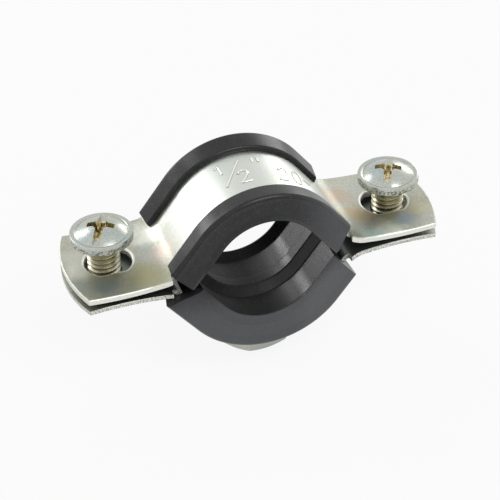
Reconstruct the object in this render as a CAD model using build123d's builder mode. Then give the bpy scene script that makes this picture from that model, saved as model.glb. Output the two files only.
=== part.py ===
"""Rubber lined pipe clamp with two closing screws and a welded connection nut.

Frame: the pipe runs along Y, the two ears point along X, +Z is up.
The origin is on the pipe's axis, in the split between the two halves.
All sizes are in millimetres and degrees.
"""

from build123d import *
from math import atan2, cos, degrees, radians, sin, sqrt, tan
import os

os.makedirs("parts", exist_ok=True)

# --- Pipe bore and rubber lining ---------------------------------------------
bore_diameter = 19.8  # across the crests of the ribs
rib_height = 1.5  # ribs above the web that lies on the strap
web_thickness = 1.75  # rubber between the valleys and the strap
lining_width = 21.0  # along the pipe
mid_rib_crest = 2.4  # flat on top of the middle rib
mid_rib_root = 5.4  # the same rib where it meets the web
rim_bevel = 1.0  # how far a rim's crest stands back from the end face
rim_bevel_height = 1.2  # radial height of that bevelled face
rim_crest = 0.4  # flat on top of each outer rim
rim_root = 2.4  # from the end face to where the rim meets the web
valley_round = 0.5  # rounding where a rib meets the web
lip_reach = 4.4  # how far a lip folds over the strap, from the end face
lip_tip_thickness = 0.9  # the lip at its free edge
lip_rise = 0.75  # how much higher the lip stands at the end face
lower_lip_lift = 0.7  # the lower lips stand further out, beside the nut
lip_edge_round = 0.45  # rounding of the lip's outer corner
upper_left_stop = -0.95  # height of the rib crests' end over the split
upper_left_slant = 7.0  # slant of that cut end from square
upper_right_stop = 0.05
upper_right_slant = 24.0
lower_left_stop = 1.05  # the same for the lower lining, counted downwards
lower_left_slant = -20.0
lower_right_stop = 0.35
lower_right_slant = 13.0
fit_gap = 0.05  # between the rubber and the steel inside it

# --- Strap halves ------------------------------------------------------------
strap_thickness = 1.0
band_width = 17.0  # the strap inside the lining
ear_width = 20.0  # the strap's flat ears
leg_angle = 52.0  # half angle of the round part, and slope of the legs
bend_radius = 4.5  # inside of the bend from leg to ear
ear_gap = 0.8  # between the ears at their closest
ear_bow_radius = 70.0  # the ears are bowed a little towards each other
overall_length = 67.8  # tip to tip
ear_tip_radius = 25.0  # the ear's rounded end, seen from above
waist_gap = 0.7  # from the longer lining end to the full width of the ear
waist_fillet = 0.6  # rounding where the ear widens, at most

# --- Openings in the upper ears ----------------------------------------------
opening_inset = 8.0  # from the tip of the ear to the middle of the opening
opening_diameter = 9.0
opening_flats = 7.9  # across the two flat sides
opening_rollover = 0.3  # rounded upper edge, as punched

# --- Tapped collars in the lower ears ----------------------------------------
screw_offset = 0.7  # screw outside the middle of the opening
collar_diameter = 8.4
collar_drop = 1.8  # below the ear's underside
collar_round = 0.4
thread_gap = 0.05  # radial, between screw and collar

# --- Closing screws ----------------------------------------------------------
screw_diameter = 5.8
screw_length = 12.0  # under the head
screw_tip_chamfer = 0.7
head_diameter = 11.0
rim_height = 1.6  # straight side of the head
rim_chamfer = 0.25
rim_land = 0.5  # flat ring round the dome
dome_height = 1.45
driver_slot_width = 1.45
driver_slot_depth = 1.2  # below the top of the dome
cross_span = 4.9
cross_arm_width = 1.3
cross_depth = 2.2
cross_taper = 10.0
driver_turn = 64.0  # direction of the driver slot from X
left_screw_out = 5.2  # underside of the head above the ear
right_screw_out = 4.4

# --- Connection nut ----------------------------------------------------------
nut_across_flats = 13.0
nut_height = 6.8  # below the strap
nut_bore_diameter = 6.8  # tapping size of the stud thread
nut_chamfer = 0.6
nut_bore_chamfer = 0.6
nut_thread_gap = 0.5  # from the end of the thread to the strap
nut_turn = 8.0  # first corner from X
nut_lip_gap = 0.3  # room in the lips round the nut

# --- Worked out from the sizes above -----------------------------------------
crest_r = bore_diameter / 2
valley_r = crest_r + rib_height
strap_in_r = valley_r + web_thickness
strap_out_r = strap_in_r + strap_thickness
channel_in_r = strap_in_r - fit_gap
channel_out_r = strap_out_r + fit_gap
lip_tip_r = channel_out_r + lip_tip_thickness
lining_out_r = lip_tip_r + lip_rise
half_lining = lining_width / 2
half_channel = band_width / 2 + fit_gap
rim_low_r = crest_r + rim_bevel_height
lip_tip_y = half_lining - lip_reach

# A leg is square to `across` and runs down along `down`, in X and Z.
across = Vector(sin(radians(leg_angle)), 0, cos(radians(leg_angle)))
down = Vector(cos(radians(leg_angle)), 0, -sin(radians(leg_angle)))

# The ear's lower face is a shallow arc, lowest at the middle of its opening.
ear_low_z = ear_gap / 2
ear_top_z = ear_low_z + strap_thickness
tip_x = overall_length / 2
opening_x = tip_x - opening_inset
screw_x = opening_x + screw_offset
bow_centre = Vector(opening_x, 0, ear_low_z + ear_bow_radius)
bend_out_r = bend_radius + strap_thickness
bend_offset = strap_in_r + bend_out_r
leg_length = bow_centre.dot(down) + sqrt(
    (ear_bow_radius - bend_out_r) ** 2 - (bow_centre.dot(across) - bend_offset) ** 2
)
bend_centre = across * bend_offset + down * leg_length
to_bow = bend_centre - bow_centre
ear_start_slope = degrees(atan2(to_bow.Z, to_bow.X)) + 90
bend_turn = leg_angle + ear_start_slope
ear_run_out = 1.0  # beyond the tip, cut away by the outline from above
ear_reach = tip_x + ear_run_out - opening_x
ear_turn = degrees(ear_reach / ear_bow_radius) - ear_start_slope



def lining_end_x(stop, slant):
    """How far out a lining reaches along the strap's outer face."""
    leg_run = (crest_r * across.Z - stop) / -down.Z
    slip = (channel_out_r - crest_r) * tan(radians(slant))
    return (across * channel_out_r + down * (leg_run - slip)).X


# The ears widen clear of the longer lining end on each side.
left_end_x = max(
    lining_end_x(upper_left_stop, upper_left_slant),
    lining_end_x(lower_left_stop, lower_left_slant),
)
right_end_x = max(
    lining_end_x(upper_right_stop, upper_right_slant),
    lining_end_x(lower_right_stop, lower_right_slant),
)
left_ear_x = left_end_x + waist_gap
right_ear_x = right_end_x + waist_gap
waist_round = min(waist_fillet, 0.4 * (ear_width - band_width))
ear_corner_x = tip_x - ear_tip_radius + sqrt(ear_tip_radius**2 - (ear_width / 2) ** 2)

screw_r = screw_diameter / 2
head_r = head_diameter / 2
nut_base_z = -strap_out_r - nut_height
nut_corner_r = nut_across_flats / 2 / cos(radians(30))
nut_bore_r = nut_bore_diameter / 2
nut_bore_top_z = -strap_out_r - nut_thread_gap
nut_face_r = nut_corner_r - nut_chamfer * tan(radians(60))

# The dome is a shallow ball: its height half way along the arc.
dome_r = head_r - rim_land
dome_ball_r = (dome_r**2 + dome_height**2) / (2 * dome_height)
dome_mid_x = dome_r / 2
dome_mid_z = rim_height + dome_height - dome_ball_r + sqrt(dome_ball_r**2 - dome_mid_x**2)


# --- The strap half that both straps are made from ---------------------------
with BuildSketch(Plane.XZ) as strap_side:
    with BuildLine():
        round_part = JernArc((0, strap_in_r), (1, 0), strap_in_r, -leg_angle)
        leg = Line(round_part @ 1, round_part @ 1 + (round_part % 1) * leg_length)
        bend = JernArc(leg @ 1, leg % 1, bend_out_r, bend_turn)
        JernArc(bend @ 1, bend % 1, ear_bow_radius, ear_turn)
        offset(amount=strap_thickness, side=Side.LEFT)
    make_face()

with BuildSketch() as strap_plan:
    with Locations(((right_ear_x - left_ear_x) / 2, 0)):
        Rectangle(left_ear_x + right_ear_x + 2, band_width)
    for side, ear_x in ((-1, left_ear_x), (1, right_ear_x)):
        with BuildLine():
            ear_sides = Polyline(
                (side * ear_corner_x, -ear_width / 2),
                (side * ear_x, -ear_width / 2),
                (side * ear_x, ear_width / 2),
                (side * ear_corner_x, ear_width / 2),
            )
            ThreePointArc(ear_sides @ 1, (side * tip_x, 0), ear_sides @ 0)
        make_face()
    waist_corners = strap_plan.vertices().filter_by(
        lambda corner: abs(abs(corner.Y) - band_width / 2) < 0.01
    )
    fillet(waist_corners, waist_round)

with BuildPart() as strap_half:
    extrude(strap_side.sketch, amount=ear_width, both=True)
    split(bisect_by=Plane.YZ, keep=Keep.TOP)
    mirror(about=Plane.YZ)
    extrude(strap_plan.sketch, amount=lining_out_r, both=True, mode=Mode.INTERSECT)

# --- Upper strap: its ears have round openings with two flat sides -----------
with BuildPart() as upper_strap:
    add(strap_half.part)
    with BuildSketch(Plane.XY):
        with Locations((-opening_x, 0), (opening_x, 0)):
            Circle(opening_diameter / 2)
            Rectangle(opening_diameter, opening_flats, mode=Mode.INTERSECT)
    extrude(amount=ear_top_z + 2, mode=Mode.SUBTRACT)
    opening_edges = upper_strap.edges(Select.LAST).filter_by(
        lambda edge: edge.center().Z > ear_top_z - 0.1
    )
    fillet(opening_edges, opening_rollover)

# --- Lower strap: its ears have tapped collars drawn downwards ---------------
with BuildPart() as lower_strap:
    add(strap_half.part, rotation=(180, 0, 0))
    with BuildSketch(Plane.XY.offset(-ear_top_z - collar_drop)):
        with Locations((-screw_x, 0), (screw_x, 0)):
            Circle(collar_diameter / 2)
    extrude(amount=collar_drop + strap_thickness / 2)
    fillet(lower_strap.edges(Select.LAST).group_by(Axis.Z)[0], collar_round)
    with BuildSketch(Plane.XY.offset(-ear_top_z - collar_drop)):
        with Locations((-screw_x, 0), (screw_x, 0)):
            Circle(screw_r + thread_gap)
    extrude(amount=collar_drop + 2 * strap_thickness, mode=Mode.SUBTRACT)

# --- Rubber linings: each is folded over the edges of its strap ---------------
# Each gives way to its strap where the strap starts to bend at the foot of a leg.
def lining_side(out_r, stop, slant):
    """The right-hand side of a lining in its upper place.

    Its lips are out_r high at the end faces. Its rib crests end at the height stop,
    and its cut end slants back from there.
    """
    leg_run = (crest_r * across.Z - stop) / -down.Z
    end_corner = across * crest_r + down * leg_run
    end_normal = down.rotate(Axis.Y, -slant)
    with BuildPart() as side:
        with BuildLine(Plane.XZ) as run:
            rise = JernArc((0, crest_r), (1, 0), crest_r, -leg_angle)
            Line(rise @ 1, rise @ 1 + (rise % 1) * (leg_run + rib_height + crest_r))
        with BuildSketch(Plane.YZ) as section:
            with BuildLine():
                Polyline(
                    (0, crest_r),
                    (mid_rib_crest / 2, crest_r),
                    (mid_rib_root / 2, valley_r),
                    (half_lining - rim_root, valley_r),
                    (half_lining - rim_bevel - rim_crest, crest_r),
                    (half_lining - rim_bevel, crest_r),
                    (half_lining, rim_low_r),
                    (half_lining, out_r),
                    (lip_tip_y, out_r - lip_rise),
                    (lip_tip_y, channel_out_r),
                    (half_channel, channel_out_r),
                    (half_channel, channel_in_r),
                    (0, channel_in_r),
                    close=True,
                )
            make_face()
            mirror(about=Plane.YZ)
            fillet(section.vertices().group_by(Axis.Y)[-1], lip_edge_round)
            valleys = section.vertices().filter_by_position(
                Axis.Y, valley_r - 0.01, valley_r + 0.01
            )
            fillet(valleys, valley_round)
        sweep(path=run.line)
        split(
            bisect_by=Plane(origin=end_corner, x_dir=(0, 1, 0), z_dir=end_normal),
            keep=Keep.BOTTOM,
        )
    return side.part


with BuildPart() as upper_lining:
    add(lining_side(lining_out_r, upper_right_stop, upper_right_slant))
    upper_left = lining_side(lining_out_r, upper_left_stop, upper_left_slant)
    mirror(upper_left, about=Plane.YZ)
    add(strap_half.part, mode=Mode.SUBTRACT)

# --- Connection nut: hexagonal, its top hollowed to sit on the strap ---------
with BuildPart() as connecting_nut:
    with BuildSketch(Plane.XY.offset(nut_base_z)):
        RegularPolygon(
            nut_across_flats / 2, 6, major_radius=False, rotation=nut_turn
        )
    extrude(amount=nut_height + strap_out_r / 2)
    with BuildSketch(Plane.XZ):
        with BuildLine():
            Polyline(
                (0, nut_base_z),
                (nut_face_r, nut_base_z),
                (nut_corner_r, nut_base_z + nut_chamfer),
                (nut_corner_r, 0),
                (0, 0),
                close=True,
            )
        make_face()
    revolve(axis=Axis.Z, mode=Mode.INTERSECT)
    with BuildSketch(Plane.XZ):
        Circle(strap_out_r)
    extrude(amount=nut_across_flats, both=True, mode=Mode.SUBTRACT)
    with BuildSketch(Plane.XZ):
        with BuildLine():
            Polyline(
                (0, nut_base_z),
                (nut_bore_r + nut_bore_chamfer, nut_base_z),
                (nut_bore_r, nut_base_z + nut_bore_chamfer),
                (nut_bore_r, nut_bore_top_z),
                (nut_bore_r + 2 * nut_bore_chamfer, nut_bore_top_z + 2 * nut_bore_chamfer),
                (0, nut_bore_top_z + 2 * nut_bore_chamfer),
                close=True,
            )
        make_face()
    revolve(axis=Axis.Z, mode=Mode.SUBTRACT)

# --- Lower lining: its lips are cut back round the nut -----------------------
with BuildPart() as nut_room:
    with BuildSketch(Plane.XY.offset(nut_base_z)):
        RegularPolygon(
            nut_across_flats / 2 + nut_lip_gap, 6, major_radius=False, rotation=nut_turn
        )
    extrude(amount=nut_height + strap_out_r / 2)
    with BuildSketch(Plane.XZ):
        Circle(strap_out_r)
    extrude(amount=nut_across_flats, both=True, mode=Mode.SUBTRACT)

with BuildPart() as lower_lining:
    lower_out_r = lining_out_r + lower_lip_lift
    lower_right = lining_side(lower_out_r, lower_right_stop, lower_right_slant)
    lower_left = lining_side(lower_out_r, lower_left_stop, lower_left_slant)
    add(lower_right, rotation=(180, 0, 0))
    add(mirror(lower_left, about=Plane.YZ, mode=Mode.PRIVATE), rotation=(180, 0, 0))
    add(strap_half.part, rotation=(180, 0, 0), mode=Mode.SUBTRACT)
    add(nut_room.part, mode=Mode.SUBTRACT)

# --- Closing screws: low domed head, driver slot crossed by a short recess ---
with BuildPart() as screw:
    with BuildSketch(Plane.XZ):
        with BuildLine():
            Polyline(
                (0, rim_height + dome_height),
                (0, -screw_length),
                (screw_r - screw_tip_chamfer, -screw_length),
                (screw_r, -screw_length + screw_tip_chamfer),
                (screw_r, 0),
                (head_r - rim_chamfer, 0),
                (head_r, rim_chamfer),
                (head_r, rim_height - rim_chamfer),
                (head_r - rim_chamfer, rim_height),
                (head_r - rim_land, rim_height),
            )
            ThreePointArc(
                (head_r - rim_land, rim_height),
                (dome_mid_x, dome_mid_z),
                (0, rim_height + dome_height),
            )
        make_face()
    revolve(axis=Axis.Z)
    with BuildSketch(Plane.XY.offset(rim_height + dome_height)):
        Rectangle(head_diameter, driver_slot_width, rotation=driver_turn)
    extrude(amount=-driver_slot_depth, mode=Mode.SUBTRACT)
    with BuildSketch(Plane.XY.offset(rim_height + dome_height)):
        Rectangle(cross_span, cross_arm_width, rotation=driver_turn)
        Rectangle(cross_arm_width, cross_span, rotation=driver_turn)
    extrude(amount=-cross_depth, taper=cross_taper, mode=Mode.SUBTRACT)

with BuildPart() as left_screw:
    with Locations((-screw_x, 0, ear_top_z + left_screw_out)):
        add(screw.part)

with BuildPart() as right_screw:
    with Locations((screw_x, 0, ear_top_z + right_screw_out)):
        add(screw.part)

# --- The pieces --------------------------------------------------------------
upper_strap.part.label = "upper_strap"
lower_strap.part.label = "lower_strap"
upper_lining.part.label = "upper_lining"
lower_lining.part.label = "lower_lining"
connecting_nut.part.label = "connecting_nut"
left_screw.part.label = "left_screw"
right_screw.part.label = "right_screw"
export_step(upper_strap.part, "parts/upper_strap.step")
export_step(lower_strap.part, "parts/lower_strap.step")
export_step(upper_lining.part, "parts/upper_lining.step")
export_step(lower_lining.part, "parts/lower_lining.step")
export_step(connecting_nut.part, "parts/connecting_nut.step")
export_step(left_screw.part, "parts/left_screw.step")
export_step(right_screw.part, "parts/right_screw.step")
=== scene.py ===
"""Rubber lined pipe clamp: zinc plated straps, ribbed rubber linings, two closing screws and a nut.

The pipe runs along Y, the ears point along X and +Z is up. Every size is in metres.
"""

import math
from types import SimpleNamespace

import bmesh
import bpy
from bpy.props import FloatProperty, FloatVectorProperty, PointerProperty
from mathutils import Matrix, Vector


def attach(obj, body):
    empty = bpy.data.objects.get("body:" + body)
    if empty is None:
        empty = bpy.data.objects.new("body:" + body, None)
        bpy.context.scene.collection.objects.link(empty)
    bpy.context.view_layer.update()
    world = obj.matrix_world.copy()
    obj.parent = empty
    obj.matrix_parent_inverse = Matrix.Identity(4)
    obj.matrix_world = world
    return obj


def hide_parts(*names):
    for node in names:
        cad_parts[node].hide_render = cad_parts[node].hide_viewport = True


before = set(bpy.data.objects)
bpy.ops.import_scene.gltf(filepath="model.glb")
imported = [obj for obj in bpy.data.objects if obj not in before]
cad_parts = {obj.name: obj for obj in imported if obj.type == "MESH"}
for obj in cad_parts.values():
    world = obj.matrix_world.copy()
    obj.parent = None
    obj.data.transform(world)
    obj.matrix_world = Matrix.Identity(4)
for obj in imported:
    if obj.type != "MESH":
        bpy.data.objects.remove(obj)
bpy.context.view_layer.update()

bl_info = {
    "name": "Rubber Lined Pipe Clamp",
    "version": (1, 0, 0),
    "blender": (4, 5, 0),
    "location": "3D View > Sidebar > Pipe Clamp",
    "description": "Models a rubber lined pipe clamp with its straps, linings, screws and nut",
    "category": "Add Mesh",
}

MM = 0.001


# --- Sizes and colours -------------------------------------------------------
def length(name, description, millimetres):
    """A size property, given in millimetres and kept in metres."""
    return FloatProperty(
        name=name, description=description, default=millimetres * MM, unit="LENGTH", precision=5
    )


def slant(name, degrees):
    """A property for the slant of a lining's cut end, given in degrees."""
    return FloatProperty(
        name=name,
        description="Slant of the cut end from square",
        default=math.radians(degrees),
        subtype="ANGLE",
    )


def colour(name, description, value):
    """A linear colour property."""
    return FloatVectorProperty(
        name=name, description=description, default=value, subtype="COLOR", min=0, max=1
    )


class ClampStrapSizes(bpy.types.PropertyGroup):
    """Sizes of the two sheet steel halves."""

    inner_radius: length("Inner radius", "Inside of the round band", 13.15)
    thickness: length("Thickness", "Sheet thickness", 1.0)
    band_width: length("Band width", "Width of the strap inside its lining", 17.0)
    ear_width: length("Ear width", "Width of the flat ears", 20.0)
    overall: length("Overall length", "From one ear's tip to the other's", 67.8)
    tip_radius: length("Tip radius", "Rounding of an ear's end, seen from above", 25.0)
    bend_radius: length("Bend radius", "Inside of the bend from leg to ear", 4.5)
    ear_gap: length("Ear gap", "Between the ears at their closest", 0.8)
    bow_radius: length("Bow radius", "Radius of the ears' slight bow", 70.0)
    left_ear: length("Left ear start", "Where the left ear reaches its full width", 17.069)
    right_ear: length("Right ear start", "Where the right ear reaches its full width", 15.767)
    waist_round: length("Waist rounding", "Rounding where an ear widens", 0.6)
    opening_spacing: length("Opening spacing", "Between the middles of the openings", 51.8)
    opening_diameter: length("Opening diameter", "Round part of the openings", 8.4)
    opening_flats: length("Opening flats", "Across the openings' flat sides", 7.0)
    collar_diameter: length("Collar diameter", "Outside of the tapped collars", 8.4)
    collar_drop: length("Collar drop", "Collars below the ear's underside", 1.8)
    rollover: length("Rollover", "Rounding of the punched edges on the outer side", 0.3)
    edge: length("Edge rounding", "Rounding of the other edges", 0.07)
    leg_angle: FloatProperty(
        name="Leg angle",
        description="Half angle of the round band, and slope of the legs",
        default=math.radians(52),
        subtype="ANGLE",
    )


class ClampLiningSizes(bpy.types.PropertyGroup):
    """Sizes of the two rubber halves."""

    bore_radius: length("Bore radius", "At the crests of the ribs", 9.9)
    rib_height: length("Rib height", "Ribs above the web", 1.5)
    width: length("Width", "Along the pipe", 21.0)
    rib_crest: length("Rib crest", "Flat on the middle rib", 2.4)
    rib_root: length("Rib root", "Middle rib where it meets the web", 5.4)
    rim_bevel: length("Rim bevel", "Rim crest behind the end face", 0.35)
    rim_bevel_height: length("Rim bevel height", "Height of the rim's bevel", 0.6)
    rim_crest: length("Rim crest", "Flat on an outer rim", 0.4)
    rim_root: length("Rim root", "From the end face to the rim's root", 2.4)
    lip_reach: length("Lip reach", "How far a lip folds over the strap", 4.4)
    lip_tip: length("Lip tip", "Thickness of the lip at its free edge", 0.9)
    lip_rise: length("Lip rise", "Lip's extra height at the end face", 0.75)
    upper_front_rise: length("Upper front rise", "Lip rise at the upper front face", 0.35)
    lower_front_rise: length("Lower front rise", "Lip rise at the lower front face", 0.95)
    front_bulge: length("Front bulge", "How far the front faces bulge out", 0.25)
    lower_lift: length("Lower lip lift", "Extra height of the lower lips", 0.7)
    fit_gap: length("Fit gap", "Between the rubber and the steel", 0.05)
    upper_left_stop: length("Upper left stop", "Height of the crests' end", -0.95)
    upper_right_stop: length("Upper right stop", "Height of the crests' end", 0.05)
    lower_left_stop: length("Lower left stop", "Depth of the crests' end", 1.05)
    lower_right_stop: length("Lower right stop", "Depth of the crests' end", 0.35)
    lip_round: length("Lip rounding", "Rounding of the lips' edges", 0.7)
    face_round: length("Face rounding", "Where an end face meets its bevel", 1.4)
    face_hollow: length("Face hollow", "Depth of the shallow hollow in an end face", 0.3)
    rib_round: length("Rib rounding", "Rounding of the ribs and valleys", 0.5)
    edge: length("Edge rounding", "Rounding of the cut ends", 0.2)
    upper_left_slant: slant("Upper left slant", 7)
    upper_right_slant: slant("Upper right slant", 24)
    lower_left_slant: slant("Lower left slant", -20)
    lower_right_slant: slant("Lower right slant", 13)


class ClampScrewSizes(bpy.types.PropertyGroup):
    """Sizes of the closing screws."""

    spacing: length("Spacing", "Between the two screws", 53.2)
    thread_radius: length("Thread radius", "At the crests of the thread", 2.9)
    root_radius: length("Root radius", "At the roots of the thread", 2.38)
    pitch: length("Pitch", "Rise of the thread in one turn", 1.0)
    shank: length("Shank", "Length under the head", 12.0)
    head_radius: length("Head radius", "Outside of the head", 5.5)
    rim: length("Rim", "Straight side of the head", 1.6)
    land: length("Land", "Flat ring round the dome", 0.9)
    crease: length("Crease", "Depth of the crease where the dome starts", 0.15)
    dome: length("Dome", "Height of the dome", 1.45)
    slot_width: length("Slot width", "Width of the driver slot", 1.4)
    slot_depth: length("Slot depth", "Driver slot below the top of the dome", 1.45)
    cross_span: length("Cross span", "Across the cross recess", 4.9)
    cross_arm: length("Cross arm", "Width of the recess's arms", 1.3)
    cross_depth: length("Cross depth", "Cross recess below the top of the dome", 2.2)
    left_height: length("Left height", "Underside of the left head", 6.6)
    right_height: length("Right height", "Underside of the right head", 5.8)
    driver_turn: FloatProperty(
        name="Driver turn",
        description="Direction of the driver slots, counted from X",
        default=math.radians(64),
        subtype="ANGLE",
    )


class ClampNutSizes(bpy.types.PropertyGroup):
    """Sizes of the connection nut."""

    across_flats: length("Across flats", "Width of the hexagon", 13.0)
    height: length("Height", "Below the strap", 6.8)
    bore_radius: length("Bore radius", "Smallest radius inside the thread", 3.4)
    bore_bevel: length("Bore bevel", "Bevel at both ends of the thread", 0.6)
    corner_bevel: length("Corner bevel", "Height of the bevel on the corners", 0.6)
    thread_gap: length("Thread gap", "From the thread's end to the strap", 0.5)
    lip_gap: length("Lip gap", "Room in the lips round the nut", 0.3)
    turn: FloatProperty(
        name="Turn",
        description="Direction of the first corner, counted from X",
        default=math.radians(8),
        subtype="ANGLE",
    )


class ClampColours(bpy.types.PropertyGroup):
    """Colours of the finishes."""

    zinc: colour("Zinc", "Plain zinc plate", (0.50, 0.51, 0.45))
    zinc_olive: colour("Olive tint", "Yellowish clouds in the plating", (0.42, 0.41, 0.29))
    zinc_blue: colour("Blue tint", "Bluish clouds in the plating", (0.37, 0.46, 0.49))
    zinc_gold: colour("Gold tint", "Plating inside the recesses", (0.32, 0.26, 0.12))
    zinc_pale: colour("Pale zinc", "Plating on the band", (0.65, 0.68, 0.64))
    # Bright cut edges, and also the colour of the painted highlights on rolled edges, round the openings and
    # on the figures' tops.
    zinc_edge_and_highlight: colour("Sheared edge", "Bright cut edges of the sheet", (0.82, 0.82, 0.76))
    zinc_screw: colour("Screw zinc", "Plating of the screws", (0.52, 0.55, 0.51))
    rubber: colour("Rubber", "Moulded rubber", (0.004, 0.0042, 0.0048))
    # Pale bloom, and also the colour of the painted light on the linings' front faces.
    rubber_bloom_and_light: colour("Rubber bloom", "Pale bloom on the rubber", (0.105, 0.108, 0.115))
    floor: colour("Floor", "Floor and background", (0.92, 0.92, 0.92))


class ClampView(bpy.types.PropertyGroup):
    """Placing of the camera."""

    azimuth: FloatProperty(
        name="Azimuth",
        description="Direction of the camera round the clamp",
        default=math.radians(-17.91),
        subtype="ANGLE",
    )
    elevation: FloatProperty(
        name="Elevation",
        description="Height of the camera above the horizon",
        default=math.radians(36.655),
        subtype="ANGLE",
    )
    roll: FloatProperty(
        name="Roll",
        description="Turn of the camera about its own axis",
        default=math.radians(-1.696),
        subtype="ANGLE",
    )
    distance: length("Distance", "From the target to the camera", 282.7)
    target_x: length("Target X", "Point looked at, along X", 0.089)
    target_z: length("Target Z", "Point looked at, along Z", -3.0)
    lens: FloatProperty(
        name="Lens", description="Focal length in millimetres", default=113.32, precision=3
    )


class ClampSettings(bpy.types.PropertyGroup):
    """All the sizes and colours of the pipe clamp."""

    strap: PointerProperty(type=ClampStrapSizes)
    lining: PointerProperty(type=ClampLiningSizes)
    screw: PointerProperty(type=ClampScrewSizes)
    nut: PointerProperty(type=ClampNutSizes)
    colours: PointerProperty(type=ClampColours)
    view: PointerProperty(type=ClampView)


def strap_layout(settings):
    """Radii and centres of the strap's side view, worked out from its sizes."""
    s = settings.strap
    out_r = s.inner_radius + s.thickness
    across = Vector((math.sin(s.leg_angle), 0, math.cos(s.leg_angle)))
    down = Vector((math.cos(s.leg_angle), 0, -math.sin(s.leg_angle)))
    opening_x = s.opening_spacing / 2
    bow_centre = Vector((opening_x, 0, s.ear_gap / 2 + s.bow_radius))
    bend_out_r = s.bend_radius + s.thickness
    offset = s.inner_radius + bend_out_r
    reach = (s.bow_radius - bend_out_r) ** 2 - (bow_centre.dot(across) - offset) ** 2
    leg = bow_centre.dot(down) + math.sqrt(reach)
    bend_centre = across * offset + down * leg
    to_bow = bend_centre - bow_centre
    slope = math.atan2(to_bow.z, to_bow.x) + math.pi / 2
    tip = s.overall / 2
    return SimpleNamespace(
        out_r=out_r,
        across=across,
        down=down,
        leg=leg,
        bend_centre=bend_centre,
        bend_turn=s.leg_angle + slope,
        bow_centre=bow_centre,
        bow_turn=(tip + MM - opening_x) / s.bow_radius - slope,
        opening_x=opening_x,
        tip=tip,
        ear_top=s.ear_gap / 2 + s.thickness,
    )


# --- Modelling steps ---------------------------------------------------------
def only(piece):
    """Selects one object and makes it active."""
    bpy.ops.object.select_all(action="DESELECT")
    piece.select_set(True)
    bpy.context.view_layer.objects.active = piece


def drawn(name, points, close=False):
    """An outline drawn by extruding one vertex from point to point. Leaves edit mode on."""
    bpy.ops.object.select_all(action="DESELECT")
    bpy.ops.mesh.primitive_plane_add(size=MM, location=(0, 0, 0))
    piece = bpy.context.object
    piece.name = name
    piece.data.name = name
    bpy.ops.object.mode_set(mode="EDIT")
    bpy.ops.mesh.select_mode(type="VERT")
    bpy.ops.mesh.select_all(action="SELECT")
    bpy.ops.mesh.merge(type="CENTER")
    bpy.ops.transform.translate(value=points[0])
    for before, after in zip(points, points[1:]):
        step = Vector(after) - Vector(before)
        bpy.ops.mesh.extrude_vertices_move(TRANSFORM_OT_translate={"value": step})
    bpy.ops.mesh.select_all(action="SELECT")
    if close:
        bpy.ops.mesh.edge_face_add()
    return piece


def pushed(step):
    """Extrudes the selected faces along a step."""
    bpy.ops.mesh.extrude_region_move(TRANSFORM_OT_translate={"value": step})


def spun(angle, centre, axis, steps):
    """Spins what is selected round an axis, by the right-hand rule."""
    bpy.ops.mesh.spin(steps=steps, angle=-angle, center=centre, axis=axis)


def pick_faces(piece, test):
    """Selects the faces whose middle and normal pass a test."""
    bpy.ops.mesh.select_mode(type="FACE")
    bpy.ops.mesh.select_all(action="DESELECT")
    shape = bmesh.from_edit_mesh(piece.data)
    for face in shape.faces:
        if test(face.calc_center_median(), face.normal):
            face.select = True
    bmesh.update_edit_mesh(piece.data)


def pick_edges(piece, test):
    """Selects the edges whose two faces pass a test."""
    bpy.ops.mesh.select_mode(type="EDGE")
    bpy.ops.mesh.select_all(action="DESELECT")
    shape = bmesh.from_edit_mesh(piece.data)
    for edge in shape.edges:
        if len(edge.link_faces) == 2 and test(*edge.link_faces):
            edge.select = True
    bmesh.update_edit_mesh(piece.data)


def closed_up():
    """Merges doubles and turns every face outwards. Ends in object mode."""
    bpy.ops.mesh.select_all(action="SELECT")
    bpy.ops.mesh.remove_doubles(threshold=0.002 * MM)
    bpy.ops.mesh.normals_make_consistent(inside=False)
    bpy.ops.object.mode_set(mode="OBJECT")


def welded(piece, sides=12):
    """Welds points that all but meet, and closes the small slits that are left."""
    only(piece)
    bpy.ops.object.mode_set(mode="EDIT")
    bpy.ops.mesh.select_mode(type="VERT")
    bpy.ops.mesh.select_all(action="SELECT")
    bpy.ops.mesh.remove_doubles(threshold=0.002 * MM)
    bpy.ops.mesh.dissolve_degenerate(threshold=0.001 * MM)
    bpy.ops.mesh.select_mode(type="EDGE")
    bpy.ops.mesh.select_all(action="DESELECT")
    bpy.ops.mesh.select_non_manifold(
        extend=False, use_multi_face=False, use_non_contiguous=False, use_verts=False
    )
    bpy.ops.mesh.fill_holes(sides=sides)
    bpy.ops.mesh.select_all(action="SELECT")
    bpy.ops.mesh.normals_make_consistent(inside=False)
    bpy.ops.object.mode_set(mode="OBJECT")


def modified(piece, kind, **settings):
    """Adds a modifier with its settings and applies it."""
    only(piece)
    modifier = piece.modifiers.new(kind.title(), kind)
    for name, value in settings.items():
        setattr(modifier, name, value)
    bpy.ops.object.modifier_apply(modifier=modifier.name)


def cut(piece, tool, operation="DIFFERENCE"):
    """Cuts one piece by another and removes the tool."""
    modified(piece, "BOOLEAN", object=tool, operation=operation, solver="EXACT")
    bpy.data.objects.remove(tool, do_unlink=True)


def mirrored(piece, x=True):
    """Completes a half with its mirror image in X."""
    modified(piece, "MIRROR", use_axis=(x, False, False), merge_threshold=0.002 * MM)


def turned_over(piece):
    """Turns a piece half a turn about X, within its mesh."""
    only(piece)
    bpy.ops.object.mode_set(mode="EDIT")
    bpy.ops.mesh.select_all(action="SELECT")
    bpy.ops.transform.resize(value=(1, -1, -1), center_override=(0, 0, 0))
    bpy.ops.object.mode_set(mode="OBJECT")


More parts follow.
